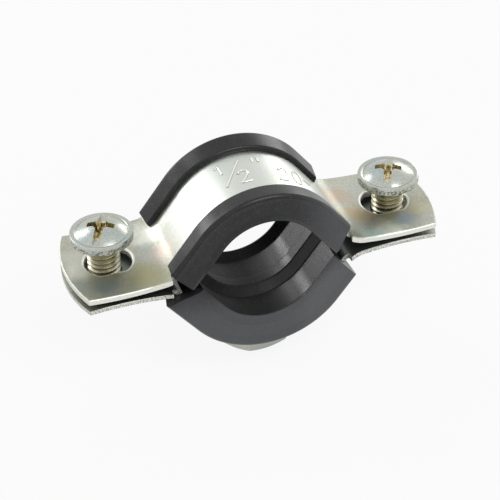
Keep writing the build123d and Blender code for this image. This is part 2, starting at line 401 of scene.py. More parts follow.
def rounded(piece, width, segments=2, angle=24, weld=False):
    """Rounds every sharp edge and shades the piece smooth."""
    modified(
        piece,
        "BEVEL",
        width=width,
        segments=segments,
        limit_method="ANGLE",
        angle_limit=math.radians(angle),
        miter_outer="MITER_ARC",
        use_clamp_overlap=True,
        harden_normals=False,
    )
    if weld:
        welded(piece)
    only(piece)
    bpy.ops.object.shade_smooth_by_angle(angle=math.radians(38))
    modified(piece, "WEIGHTED_NORMAL", keep_sharp=True, weight=60)


def eased(corners, steps=5):
    """An outline whose corners, given as (u, v, radius), are rounded. The first and last stay."""
    points = [Vector(corners[0][:2])]
    for before, corner, after in zip(corners, corners[1:], corners[2:]):
        tip = Vector(corner[:2])
        one = (Vector(before[:2]) - tip).normalized()
        two = (Vector(after[:2]) - tip).normalized()
        half = one.angle(two) / 2
        middle = tip + (one + two).normalized() * (corner[2] / math.sin(half))
        start = tip + one * (corner[2] / math.tan(half)) - middle
        sweep = start.angle_signed(tip + two * (corner[2] / math.tan(half)) - middle, 0)
        count = steps if corner[2] else 0
        points += [
            middle + Matrix.Rotation(-sweep * i / max(count, 1), 2) @ start for i in range(count + 1)
        ]
    points.append(Vector(corners[-1][:2]))
    return [tuple(point) for point in points]


def arc(centre, radius, start, end, steps):
    """Points of an arc in plan, angles in radians."""
    return [
        (
            centre[0] + radius * math.cos(start + (end - start) * i / steps),
            centre[1] + radius * math.sin(start + (end - start) * i / steps),
            0,
        )
        for i in range(steps + 1)
    ]


def set_down(piece, body, node, material):
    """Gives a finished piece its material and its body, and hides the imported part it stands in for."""
    piece.data.materials.clear()
    piece.data.materials.append(material)
    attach(piece, body)
    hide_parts(node)


# --- Shader maths ------------------------------------------------------------
RAYS = ("Camera", "Glossy", "Transmission")


class Sock:
    """A node socket that can be added, multiplied and compared like a number."""

    def __init__(self, nodes, socket):
        self.nodes = nodes
        self.socket = socket

    def math(self, operation, *values):
        return self.nodes.add("ShaderNodeMath", {"operation": operation}, *values)

    def __add__(self, other):
        return self.math("ADD", self, other)

    __radd__ = __add__

    def __sub__(self, other):
        return self.math("SUBTRACT", self, other)

    def __rsub__(self, other):
        return self.math("SUBTRACT", other, self)

    def __mul__(self, other):
        return self.math("MULTIPLY", self, other)

    __rmul__ = __mul__

    def __truediv__(self, other):
        return self.math("DIVIDE", self, other)

    def __gt__(self, other):
        return self.math("GREATER_THAN", self, other)

    def __lt__(self, other):
        return self.math("LESS_THAN", self, other)

    def __abs__(self):
        return self.math("ABSOLUTE", self)

    def __pow__(self, other):
        return self.math("POWER", self, other)

    def sine(self):
        return self.math("SINE", self)

    def wrapped(self, top):
        return self.math("WRAP", self, top, 0.0)

    def ramp(self, low, high):
        """0 below low, 1 above high, smooth between."""
        settings = {"interpolation_type": "SMOOTHSTEP"}
        return self.nodes.add("ShaderNodeMapRange", settings, self, low, high, 0.0, 1.0)


class Nodes:
    """Builds the nodes of one material or world."""

    def __init__(self, owner):
        self.owner = owner
        owner.use_nodes = True
        self.tree = owner.node_tree
        self.tree.nodes.clear()

    def add(self, kind, settings=None, *values, out=0, **named):
        """Adds a node: its settings first, then values or links for its sockets."""
        node = self.tree.nodes.new(kind)
        for key, value in (settings or {}).items():
            setattr(node, key, value)
        for key, value in list(enumerate(values)) + list(named.items()):
            key = key.replace("_", " ") if isinstance(key, str) else key
            self.plug(node.inputs[key], value)
        return Sock(self, node.outputs[out]) if node.outputs else None

    def plug(self, entry, value):
        """Links a socket or sets its value."""
        if isinstance(value, Sock):
            self.tree.links.new(value.socket, entry)
        else:
            entry.default_value = value

    def place(self):
        """Position on the piece, in metres."""
        return self.add("ShaderNodeTexCoord", out=3)

    def facing(self):
        """Direction that the surface faces, on the piece."""
        return self.add("ShaderNodeTexCoord", out=1)

    def axes(self, vector):
        """The three numbers of a vector."""
        first = self.add("ShaderNodeSeparateXYZ", None, vector)
        return [Sock(self, output) for output in first.socket.node.outputs]

    def noise(self, vector, scale, detail=3.0, roughness=0.55):
        return self.add(
            "ShaderNodeTexNoise", None, Vector=vector, Scale=scale, Detail=detail, Roughness=roughness
        )

    def stretched(self, vector, scale):
        """A position scaled by different amounts along its axes."""
        return self.add("ShaderNodeVectorMath", {"operation": "MULTIPLY"}, vector, scale)

    def blend(self, factor, first, second):
        """Mixes two colours."""
        node = self.tree.nodes.new("ShaderNodeMix")
        node.data_type = "RGBA"
        self.plug(node.inputs[0], factor)
        self.plug(node.inputs[6], first if isinstance(first, Sock) else (*first, 1))
        self.plug(node.inputs[7], second if isinstance(second, Sock) else (*second, 1))
        return Sock(self, node.outputs[2])

    def bump(self, height, distance, strength=1.0, normal=None):
        node = self.tree.nodes.new("ShaderNodeBump")
        self.plug(node.inputs["Height"], height)
        node.inputs["Distance"].default_value = distance
        node.inputs["Strength"].default_value = strength
        if normal is not None:
            self.plug(node.inputs["Normal"], normal)
        return Sock(self, node.outputs[0])

    def plain_sight(self):
        """1 for camera, glossy and transmission rays, 0 for the light that falls on things."""
        path = self.add("ShaderNodeLightPath").socket.node
        rays = [Sock(self, path.outputs[f"Is {kind} Ray"]) for kind in RAYS]
        return rays[0].math("MAXIMUM", rays[0].math("MAXIMUM", rays[0], rays[1]), rays[2])

    def surface(self, **sockets):
        """Ends the material in a Principled shader."""
        shader = self.add("ShaderNodeBsdfPrincipled", None, **sockets)
        self.add("ShaderNodeOutputMaterial", None, shader)
        return self.owner


def named_nodes(name):
    """Nodes of a new material, or None and the material if it is made already."""
    if name in bpy.data.materials:
        return None, bpy.data.materials[name]
    return Nodes(bpy.data.materials.new(name)), None


def plating(n, place, colours, base, olive, blue, grain, roughness):
    """Cloudy colour, roughness and fine relief of passivated zinc plate."""
    olive_clouds = n.noise(place, 110.0, 2.5).ramp(0.36, 0.66) * olive
    blue_clouds = n.noise(n.stretched(place, (0.8, 1.0, 1.2)), 170.0, 2.0).ramp(0.47, 0.70) * blue
    speckle = n.noise(place, 2700.0, 4.0, 0.8)
    tone = n.blend(olive_clouds, tuple(base), tuple(colours.zinc_olive))
    tone = n.blend(blue_clouds, tone, tuple(colours.zinc_blue))
    shade = speckle.ramp(0.40, 0.66) * (0.55 * grain)
    tone = n.blend(shade, tone, tuple(0.5 * c for c in base))
    rough = roughness + (n.noise(place, 420.0, 4.0) - 0.5) * 0.14 + (speckle - 0.5) * (0.2 * grain)
    marks = n.noise(n.stretched(place, (1.0, 4.0, 1.0)), 1100.0, 3.0, 0.6)
    normal = n.bump(marks * 0.35 + speckle * 0.65, 0.022 * MM * grain)
    return tone, rough, normal


def stains_and_highlights(n, place, tone, patches):
    """Adds soft heat-like discolouring and a few painted highlights: each is (x, y, radius, colour, strength),
    in millimetres.
    """
    wander = n.noise(place, 260.0, 3.0)
    for x, y, radius, patch_colour, strength in patches:
        near = n.add(
            "ShaderNodeVectorMath", {"operation": "SUBTRACT"}, place, (x * MM, y * MM, 0.0)
        )
        px, py, pz = n.axes(near)
        reach = (px * px + py * py) ** 0.5 + (wander - 0.5) * (1.3 * radius * MM)
        mask = (1 - reach.ramp(0.15 * radius * MM, radius * MM)) * strength
        tone = n.blend(mask, tone, patch_colour)
    return tone


# Heat-like discolouring of the plating, plus three pale patches that are painted highlights.
STRAP_STAINS_AND_HIGHLIGHTS = (
    (-28.0, -7.0, 3.0, (0.27, 0.36, 0.39), 0.75),
    (-23.5, -9.5, 4.0, (0.32, 0.34, 0.24), 0.80),
    # Pale patch by the left bend: a painted highlight.
    (-17.5, 4.5, 4.5, (0.86, 0.87, 0.80), 0.75),
    # Near-white patch on the band's right flank: a painted highlight.
    (9.5, -2.0, 5.0, (0.95, 0.96, 0.93), 0.80),
    (-20.8, -6.5, 5.5, (0.38, 0.37, 0.22), 0.85),
    (-31.5, -1.5, 4.0, (0.74, 0.75, 0.66), 0.70),
    (-17.0, -2.5, 3.6, (0.64, 0.50, 0.44), 0.55),
    (-31.5, 2.0, 4.0, (0.56, 0.57, 0.50), 0.60),
    (18.5, 3.5, 4.0, (0.46, 0.35, 0.27), 0.60),
    (20.0, -3.0, 3.8, (0.48, 0.37, 0.21), 0.75),
    (27.0, -6.6, 3.0, (0.34, 0.42, 0.54), 0.70),
    (20.5, -9.4, 3.2, (0.48, 0.64, 0.58), 0.80),
    # Pale patch in front of the right opening: a painted highlight.
    (23.5, -8.8, 4.2, (0.84, 0.90, 0.82), 0.85),
    (31.0, -4.5, 3.4, (0.56, 0.52, 0.36), 0.55),
    (-6.0, 4.0, 5.0, (0.56, 0.62, 0.58), 0.50),
    (5.0, -5.0, 5.0, (0.60, 0.62, 0.52), 0.45),
)


def zinc_strap(colours, sizes, spacing):
    """Zinc plate of the straps: paler on the band, heat-like discolouring and painted highlights on the ears
    and band, painted shade on the inner faces and in the tapped bores, painted highlights on rolled edges and
    round the openings, bright sheared edges.
    """
    n, made = named_nodes("Strap zinc")
    if made:
        return made
    place = n.place()
    x, y, z = n.axes(place)
    band = z.ramp(2 * MM, 8 * MM)
    tone, rough, normal = plating(n, place, colours, colours.zinc, (1 - band) * 0.6, 0.3, 0.9, 0.45)
    tone = n.blend(band * 0.8, tone, tuple(colours.zinc_pale))
    tone = stains_and_highlights(n, place, tone, STRAP_STAINS_AND_HIGHLIGHTS)
    nx, ny, nz = n.axes(n.facing())
    # Painted shade: faces that turn to the clamp's middle go dark teal, most between the ears and less towards
    # the tips.
    inside = 1 - (z * nz).ramp(-0.4 * MM, -0.1 * MM)
    deep = 1 - abs(x).ramp(24 * MM, 33 * MM) * 0.9
    tone = n.blend(inside * deep * 0.75, tone, (0.10, 0.13, 0.125))
    # Painted shade inside the collars' bores, striped by the thread's turns.
    screw_x = abs(x) - spacing / 2
    bore = 1 - ((screw_x * screw_x + y * y) ** 0.5).ramp(3.0 * MM, 3.1 * MM)
    turns = abs((z * (1 / MM)).wrapped(1.0) - 0.5) * 2
    sheared = (1 - abs(nz).ramp(0.25, 0.6)) * (1 - band * 0.5)
    torn = n.noise(n.stretched(place, (1.0, 1.0, 0.6)), 4200.0, 3.0, 0.75).ramp(0.38, 0.66)
    lower = 1 - z.ramp(-0.75 * MM, -0.45 * MM)
    edge = n.blend(torn * (lower * 0.75 + 0.12), tuple(colours.zinc_edge_and_highlight), (0.16, 0.155, 0.14))
    # Painted highlight on the rolled edges of the ears beyond the bends.
    painted_edge_highlight = (1 - abs(nz).ramp(0.72, 0.90)) * abs(x).ramp(20.5 * MM, 21.5 * MM)
    round_part = ((abs(x) - sizes.opening_spacing / 2) ** 2 + y * y) ** 0.5
    past = round_part - sizes.opening_diameter / 2
    past = past.math("MAXIMUM", past, abs(y) - sizes.opening_flats / 2)
    # Painted highlight on the rolled rims round the openings.
    lip = (1 - past.ramp(sizes.rollover + 0.05 * MM, sizes.rollover + 0.25 * MM)) * z.ramp(0, 0.5 * MM)
    tone = n.blend(painted_edge_highlight.math("MAXIMUM", painted_edge_highlight, lip) * 0.75, tone, tuple(colours.zinc_edge_and_highlight))
    edge = n.blend(abs(nx) * 0.5, edge, tuple(colours.zinc))
    tone = n.blend(sheared, tone, edge)
    tone = n.blend(bore * (0.95 - turns * 0.5), tone, (0.035, 0.033, 0.028))
    normal = n.bump(torn * sheared, 0.05 * MM, 1.0, normal)
    rough = rough + sheared * 0.12 - band * 0.08
    return n.surface(Base_Color=tone, Metallic=1.0, Roughness=rough, Normal=normal)


def zinc_figures(colours, radius):
    """Zinc plate of the raised figures: a painted highlight on top, painted shade where they rise from the
    band.
    """
    n = Nodes(bpy.data.materials.new("Figure zinc"))
    x, y, z = n.axes(n.place())
    # Painted highlight on the strokes' tops, painted shade where they rise from the band.
    risen = ((x * x + z * z) ** 0.5).ramp(radius, radius + 0.14 * MM)
    painted_base_shade = tuple(0.28 * c for c in colours.zinc_pale)
    tone = n.blend(risen, painted_base_shade, tuple(colours.zinc_edge_and_highlight))
    rough = 0.30 + (n.noise(n.place(), 2000.0) - 0.5) * 0.2
    return n.surface(Base_Color=tone, Metallic=1.0, Roughness=rough)


def zinc_screw(name, colours, x, under, sizes):
    """Zinc plate of a screw: bluish dome, mottled rim, yellowish recess with painted glints, and a yellowish
    thread with painted shade in its roots.
    """
    n, made = named_nodes(name)
    if made:
        return made
    place = n.place()
    px, py, pz = n.axes(place)
    px = px - x
    radius = (px * px + py * py) ** 0.5
    tone, rough, normal = plating(n, place, colours, colours.zinc_screw, 0.35, 0.5, 0.9, 0.25)
    low = 1 - pz.ramp(under - 0.2 * MM, under)
    tone = n.blend(low * 0.7, tone, (0.58, 0.54, 0.38))
    # Painted shade in the thread's roots.
    valley = low * (1 - radius.ramp(sizes.root_radius, sizes.thread_radius - 0.1 * MM))
    tone = n.blend(valley * 0.75, tone, (0.22, 0.18, 0.10))
    top = under + sizes.rim
    ball = (sizes.head_radius - sizes.land) ** 2 / (2 * sizes.dome)
    sunk = top + sizes.dome - 0.12 * MM - radius * radius / (2 * ball) - pz
    recess = sunk.ramp(0, 0.2 * MM) * (1 - radius.ramp(0.50 * sizes.cross_span, 0.56 * sizes.cross_span) * 0.9)
    recess = recess * pz.ramp(under, under + 0.2 * MM)
    # The recess plating is yellow; its bright streaks are painted glints.
    streaks = n.noise(n.stretched(place, (1.0, 1.0, 0.12)), 2600.0, 2.0).ramp(0.40, 0.62)
    gold_and_glints = n.blend(streaks, tuple(colours.zinc_gold), (0.74, 0.65, 0.40))
    tone = n.blend(recess * 0.9, tone, gold_and_glints)
    side = radius.ramp(sizes.head_radius - 0.3 * MM, sizes.head_radius - 0.1 * MM)
    mottle = n.noise(n.stretched(place, (1, 1, 1.6)), 1900.0, 3.0, 0.7).ramp(0.46, 0.62)
    rim = side * (1 - pz.ramp(top - 0.55 * MM, top - 0.25 * MM))
    tone = n.blend(rim * mottle * 0.85, tone, (0.10, 0.095, 0.08))
    normal = n.bump(mottle * rim, 0.10 * MM, 1.0, normal)
    return n.surface(Base_Color=tone, Metallic=1.0, Roughness=rough, Normal=normal)


def zinc_nut(colours):
    """Zinc plate of the nut, with painted shade on the side faces that turn towards +X."""
    n, made = named_nodes("Nut zinc")
    if made:
        return made
    tone, rough, normal = plating(n, n.place(), colours, colours.zinc, 0.2, 0.6, 0.6, 0.36)
    nx, ny, nz = n.axes(n.facing())
    # Painted shade: side faces darken the more they face +X.
    tone = n.blend(nx.ramp(-0.2, 0.9) * (1 - abs(nz)) * 0.6, tone, tuple(0.45 * c for c in colours.zinc))
    return n.surface(Base_Color=tone, Metallic=0.75, Roughness=rough, Normal=normal)


def rubber(colours):
    """Moulded rubber: near black, satin, with a faint bloom and fine dust, and painted light that makes the
    front faces lighter low down and towards the right.
    """
    n, made = named_nodes("Moulded rubber")
    if made:
        return made
    place = n.place()
    x, y, z = n.axes(place)
    clouds = n.noise(place, 150.0, 4.0).ramp(0.30, 0.75)
    streaks = n.noise(n.stretched(place, (1.0, 0.10, 1.0)), 900.0, 2.0).ramp(0.35, 0.75)
    grain = n.noise(place, 4200.0, 2.0, 0.6)
    dust = n.noise(place, 4800.0, 1.0, 0.5).ramp(0.65, 0.75)
    front = 1 - y.ramp(-10.4 * MM, -8.0 * MM)
    # Painted light: the front faces are lighter low down and towards the right end.
    painted_front_light = (1 - z.ramp(-8 * MM, 0)) * 0.7 + x.ramp(3 * MM, 14 * MM) * 0.6
    # Bloom in clouds and streaks, plus the painted light on the front faces.
    bloom = clouds * 0.07 + streaks * 0.05 + front * (0.04 + painted_front_light)
    tone = n.blend(bloom, tuple(colours.rubber), tuple(colours.rubber_bloom_and_light))
    tone = n.blend(dust * 0.24, tone, (0.30, 0.30, 0.31))
    normal = n.bump(grain * 0.8 + streaks * 0.2, 0.010 * MM)
    deep = (1 - ((x * x + z * z) ** 0.5).ramp(11.6 * MM, 12.2 * MM)) * (1 - x.ramp(0, 6 * MM))
    rough = 0.25 + clouds * 0.08 + (grain - 0.5) * 0.12 + deep * 0.35
    return n.surface(Base_Color=tone, Roughness=rough, Normal=normal, Specular_IOR_Level=0.36)


# --- The pieces --------------------------------------------------------------
def strap_half(name, settings):
    """One strap in its upper place: a strip spun and drawn to its side view, then cut in plan."""
    s = settings.strap
    o = strap_layout(settings)
    half = s.ear_width / 2 + MM
    strap = drawn(name, [(0, -half, s.inner_radius), (0, half, s.inner_radius)])
    spun(s.leg_angle, (0, 0, 0), (0, 1, 0), 52)
    bpy.ops.mesh.extrude_edges_move(TRANSFORM_OT_translate={"value": o.down * o.leg})
    spun(-o.bend_turn, o.bend_centre, (0, 1, 0), 12)
    spun(-o.bow_turn, o.bow_centre, (0, 1, 0), 14)
    closed_up()
    mirrored(strap)
    only(strap)
    bpy.ops.object.mode_set(mode="EDIT")
    closed_up()
    upwards = max(strap.data.polygons, key=lambda face: face.center.z).normal.z
    modified(strap, "SOLIDIFY", thickness=s.thickness, offset=math.copysign(1, upwards))
    right = ear_outline(settings, s.right_ear)
    left = [(-x, -y, 0) for x, y, z in ear_outline(settings, s.left_ear)]
    outline = right + left
    plan = drawn("Plan", outline, close=True)
    pushed((0, 0, 2 * o.out_r))
    closed_up()
    cut(strap, plan, "INTERSECT")
    return strap


def rolled(strap, width):
    """Rounds the punched outline on the strap's outer side, as a press leaves it."""
    only(strap)
    bpy.ops.object.mode_set(mode="EDIT")

    def outline(one, two):
        low, high = sorted((one.normal.z, two.normal.z), key=abs)
        return abs(low) < 0.05 and high > 0.3

    pick_edges(strap, outline)
    bpy.ops.mesh.bevel(offset=width, segments=4, profile=0.5, affect="EDGES", clamp_overlap=False)
    closed_up()


def ear_outline(settings, start):
    """Plan of the right ear, from the band's lower edge round its tip to the upper edge."""
    s = settings.strap
    band = s.band_width / 2
    ear = s.ear_width / 2
    tip_x = s.overall / 2 - s.tip_radius
    sweep = math.asin(ear / s.tip_radius)
    waist = (start - s.waist_round, -band - s.waist_round)
    shoulder = arc(waist, s.waist_round, math.pi / 2, 0, 6) + [(start, -ear, 0)]
    tip = arc((tip_x, 0), s.tip_radius, -sweep, sweep, 24)
    return shoulder + tip + [(x, -y, 0) for x, y, z in reversed(shoulder)]


def opening_tool(settings, side):
    """A round punch with two flat sides."""
    s = settings.strap
    r = s.opening_diameter / 2
    flat = math.asin(s.opening_flats / s.opening_diameter)
    centre = (side * s.opening_spacing / 2, 0)
    outline = arc(centre, r, -flat, flat, 20) + arc(centre, r, math.pi - flat, math.pi + flat, 20)
    tool = drawn("Punch", outline, close=True)
    pushed((0, 0, 4 * MM))
    closed_up()
    return tool


def turned_profile(name, points, steps, centre=(0, 0, 0)):
    """A shape turned round the Z axis through a centre, from its side outline."""
    piece = drawn(name, points)
    spun(2 * math.pi, centre, (0, 0, 1), steps)
    closed_up()
    return piece


class CLAMP_OT_upper_strap(bpy.types.Operator):
    """Add the upper strap, with its openings"""

    bl_idname = "pipe_clamp.upper_strap"
    bl_label = "Upper Strap"

    def execute(self, context):
        settings = context.scene.pipe_clamp
        s = settings.strap
        strap = strap_half("upper_strap_dressed", settings)
        for side in (-1, 1):
            cut(strap, opening_tool(settings, side))
        rolled(strap, s.rollover)
        rounded(strap, s.edge, angle=50, weld=True)
        finish = zinc_strap(settings.colours, s, settings.screw.spacing)
        set_down(strap, "upper_half", "upper_strap", finish)
        return {"FINISHED"}


FIGURES = {
    "1": [[(0.1, 0.8), (0.62, 1.0), (0.62, 0.0)]],
    "2": [[(0.0, 0.78), (0.2, 0.96), (0.55, 1.0), (0.9, 0.88), (0.97, 0.68), (0.0, 0.0), (1.0, 0.0)]],
    "0": [[(0.5 + 0.5 * math.cos(i * 0.4), 0.5 + 0.5 * math.sin(i * 0.4)) for i in range(17)]],
    "/": [[(1.0, 1.0), (0.0, 0.0)]],
    "'": [[(0.5, 1.0), (0.35, 0.0)]],
    "-": [[(0.0, 0.5), (1.0, 0.5)]],
}


class CLAMP_OT_size_numbers(bpy.types.Operator):
    """Add the pipe size, raised in thin strokes on top of the band"""

    bl_idname = "pipe_clamp.size_numbers"
    bl_label = "Size Numbers"

    def execute(self, context):
        settings = context.scene.pipe_clamp
        radius = strap_layout(settings).out_r
        places = (
            ("1", -5.1, 1.3, 1.5, 2.6, 0.0),
            ("/", -4.5, -2.6, 3.9, 6.2, 0.0),
            ("2", -1.8, -3.0, 1.8, 3.5, 0.0),
            ("'", 1.5, 2.4, 0.8, 1.2, 0.0),
            ("'", 2.5, 2.4, 0.8, 1.2, 0.0),
            ("2", 4.9, -3.3, 1.6, 4.2, 0.9),
            ("0", 7.6, -3.2, 1.5, 4.6, 0.9),
            ("-", 10.3, -1.0, 1.0, 1.6, 0.0),
        )
        strokes = []
        for figure, x, y, width, height, lean in places:
            for line in FIGURES[figure]:
                points = [((x + u * width + v * lean) * MM, (y + v * height) * MM) for u, v in line]
                strokes.append(self.stroke(points, radius))
        only(strokes[0])
        for stroke in strokes:
            stroke.select_set(True)
        bpy.ops.object.convert(target="MESH")
        bpy.ops.object.join()
        numbers = bpy.context.object
        numbers.name = "size_numbers"
        bpy.ops.object.shade_smooth()
        numbers.data.materials.clear()
        numbers.data.materials.append(zinc_figures(settings.colours, radius))
        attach(numbers, "upper_half")
        return {"FINISHED"}

    def stroke(self, points, radius):
        """One thin rounded stroke that lies on the band."""
        bpy.ops.object.select_all(action="DESELECT")
        bpy.ops.curve.primitive_nurbs_path_add(location=(0, 0, 0))
        stroke = bpy.context.object
        curve = stroke.data
        curve.splines.clear()
        dense = []
        for (x0, y0), (x1, y1) in zip(points, points[1:]):
            steps = max(1, round(math.hypot(x1 - x0, y1 - y0) / (0.35 * MM)))
            dense += [(x0 + (x1 - x0) * i / steps, y0 + (y1 - y0) * i / steps) for i in range(steps)]
        dense.append(points[-1])
        spline = curve.splines.new("POLY")
        spline.points.add(len(dense) - 1)
        for point, (x, y) in zip(spline.points, dense):
            point.co = (x, y, math.sqrt((radius - 0.09 * MM) ** 2 - x * x), 1)
        curve.dimensions = "3D"
        curve.bevel_depth = 0.25 * MM
        curve.bevel_resolution = 3
        curve.use_fill_caps = True
        return stroke


class CLAMP_OT_lower_strap(bpy.types.Operator):
    """Add the lower strap, with its tapped collars"""

    bl_idname = "pipe_clamp.lower_strap"
    bl_label = "Lower Strap"

    def execute(self, context):
        settings = context.scene.pipe_clamp
        s = settings.strap
        o = strap_layout(settings)
        strap = strap_half("lower_strap_dressed", settings)
        rolled(strap, s.rollover)
        turned_over(strap)
        x = settings.screw.spacing / 2
        outer = s.collar_diameter / 2
        low = -o.ear_top - s.collar_drop
        high = -o.ear_top + s.thickness / 2
        hole = settings.screw.thread_radius + 0.05 * MM
        for side in (-1, 1):
            c = side * x
            profile = [
                (c, 0, high),
                (c + outer, 0, high),
                (c + outer, 0, low + 0.4 * MM),
                (c + outer - 0.4 * MM, 0, low),
                (c, 0, low),
            ]
            collar = turned_profile("Collar", profile, 48, (c, 0, 0))
            cut(strap, collar, "UNION")
            top = high + 2 * MM
            profile = [(c, 0, top), (c + hole, 0, top), (c + hole, 0, low - MM), (c, 0, low - MM)]
            drill = turned_profile("Drill", profile, 48, (c, 0, 0))
            cut(strap, drill)
        rounded(strap, s.edge, angle=50, weld=True)
        finish = zinc_strap(settings.colours, s, settings.screw.spacing)
        set_down(strap, "lower_half", "lower_strap", finish)
        return {"FINISHED"}


def lining_side(name, settings, lift, stop, slope):
    """The right side of a lining: its section spun round the bore, drawn down a leg and cut."""
    s = settings.strap
    g = settings.lining
    o = strap_layout(settings)
    valley = g.bore_radius + g.rib_height
    channel_in = s.inner_radius - g.fit_gap
    channel_out = o.out_r + g.fit_gap
    channel_y = s.band_width / 2 + g.fit_gap
    lip_r = channel_out + g.lip_tip + lift
    back_face = (g.width / 2, g.lip_rise)
    front_face = (g.width / 2 + g.front_bulge, g.lower_front_rise if lift else g.upper_front_rise)
    faces = (front_face, back_face) if lift else (back_face, front_face)
    sides = []
    for half, rise in faces:
        tip_y = half - g.lip_reach
        valley_y = (g.rib_root / 2 + half - g.rim_root) / 2
        corners = [
            (0, g.bore_radius, 0),
            (g.rib_crest / 2, g.bore_radius, g.rib_round),
            (g.rib_root / 2, valley, g.rib_round),
            (valley_y, valley, 0),
            (half - g.rim_root, valley, g.rib_round),
            (half - g.rim_bevel - g.rim_crest / 2, g.bore_radius, 0.25 * MM),
            (half, g.bore_radius + g.rim_bevel_height, g.face_round),
            (half - g.face_hollow, o.out_r + lift / 2, 4 * MM),
            (half, lip_r + rise, g.lip_round),
            (tip_y, lip_r, 0.7 * g.lip_round),
            (tip_y, channel_out, 0),
            (channel_y, channel_out, 0),
            (channel_y, channel_in, 0),
        ]
        sides.append(eased(corners)[1:])
    section = [(0, y, z) for y, z in sides[0]] + [(0, -y, z) for y, z in reversed(sides[1])]
    piece = drawn(name, section, close=True)
    spun(s.leg_angle, (0, 0, 0), (0, 1, 0), 52)
    run = (g.bore_radius * o.across.z - stop) / -o.down.z
    pushed(o.down * (run + 8 * MM))
    bpy.ops.mesh.select_all(action="SELECT")
    corner = o.across * g.bore_radius + o.down * run
    bpy.ops.mesh.bisect(
        plane_co=corner,
        plane_no=Matrix.Rotation(-slope, 3, "Y") @ o.down,
        use_fill=True,
        clear_outer=True,
        threshold=1e-6,
    )
    pick_faces(piece, lambda middle, normal: abs(middle.x) < 1e-7 and abs(normal.x) > 0.9)
    bpy.ops.mesh.delete(type="ONLY_FACE")
    bpy.ops.object.mode_set(mode="OBJECT")
    return piece


def lining(name, settings, lift, left, right):
    """A rubber half in its upper place, from its two sides. left and right are (stop, slant)."""
    other = lining_side("Left side", settings, lift, *left)
    bpy.ops.object.mode_set(mode="EDIT")
    bpy.ops.mesh.select_all(action="SELECT")
    bpy.ops.transform.resize(value=(-1, 1, 1), center_override=(0, 0, 0))
    bpy.ops.object.mode_set(mode="OBJECT")
    piece = lining_side(name, settings, lift, *right)
    only(piece)
    other.select_set(True)
    bpy.ops.object.join()
    bpy.ops.object.mode_set(mode="EDIT")
    closed_up()
    return piece


class CLAMP_OT_linings(bpy.types.Operator):
    """Add the two ribbed rubber linings"""

    bl_idname = "pipe_clamp.linings"
    bl_label = "Rubber Linings"

    def execute(self, context):
        settings = context.scene.pipe_clamp
        g = settings.lining
        finish = rubber(settings.colours)
        left = (g.upper_left_stop, g.upper_left_slant)
        right = (g.upper_right_stop, g.upper_right_slant)
        upper = lining("upper_lining_dressed", settings, 0, left, right)
        rounded(upper, g.edge, segments=3, angle=32)
        set_down(upper, "upper_half", "upper_lining", finish)
        left = (g.lower_left_stop, g.lower_left_slant)
        right = (g.lower_right_stop, g.lower_right_slant)
        lower = lining("lower_lining_dressed", settings, g.lower_lift, left, right)
        turned_over(lower)
        room = hexagon("Nut room", settings, settings.nut.lip_gap)
        cut(room, saddle(settings))
        cut(lower, room)
        rounded(lower, g.edge, segments=3, angle=32)
        set_down(lower, "lower_half", "lower_lining", finish)
        return {"FINISHED"}


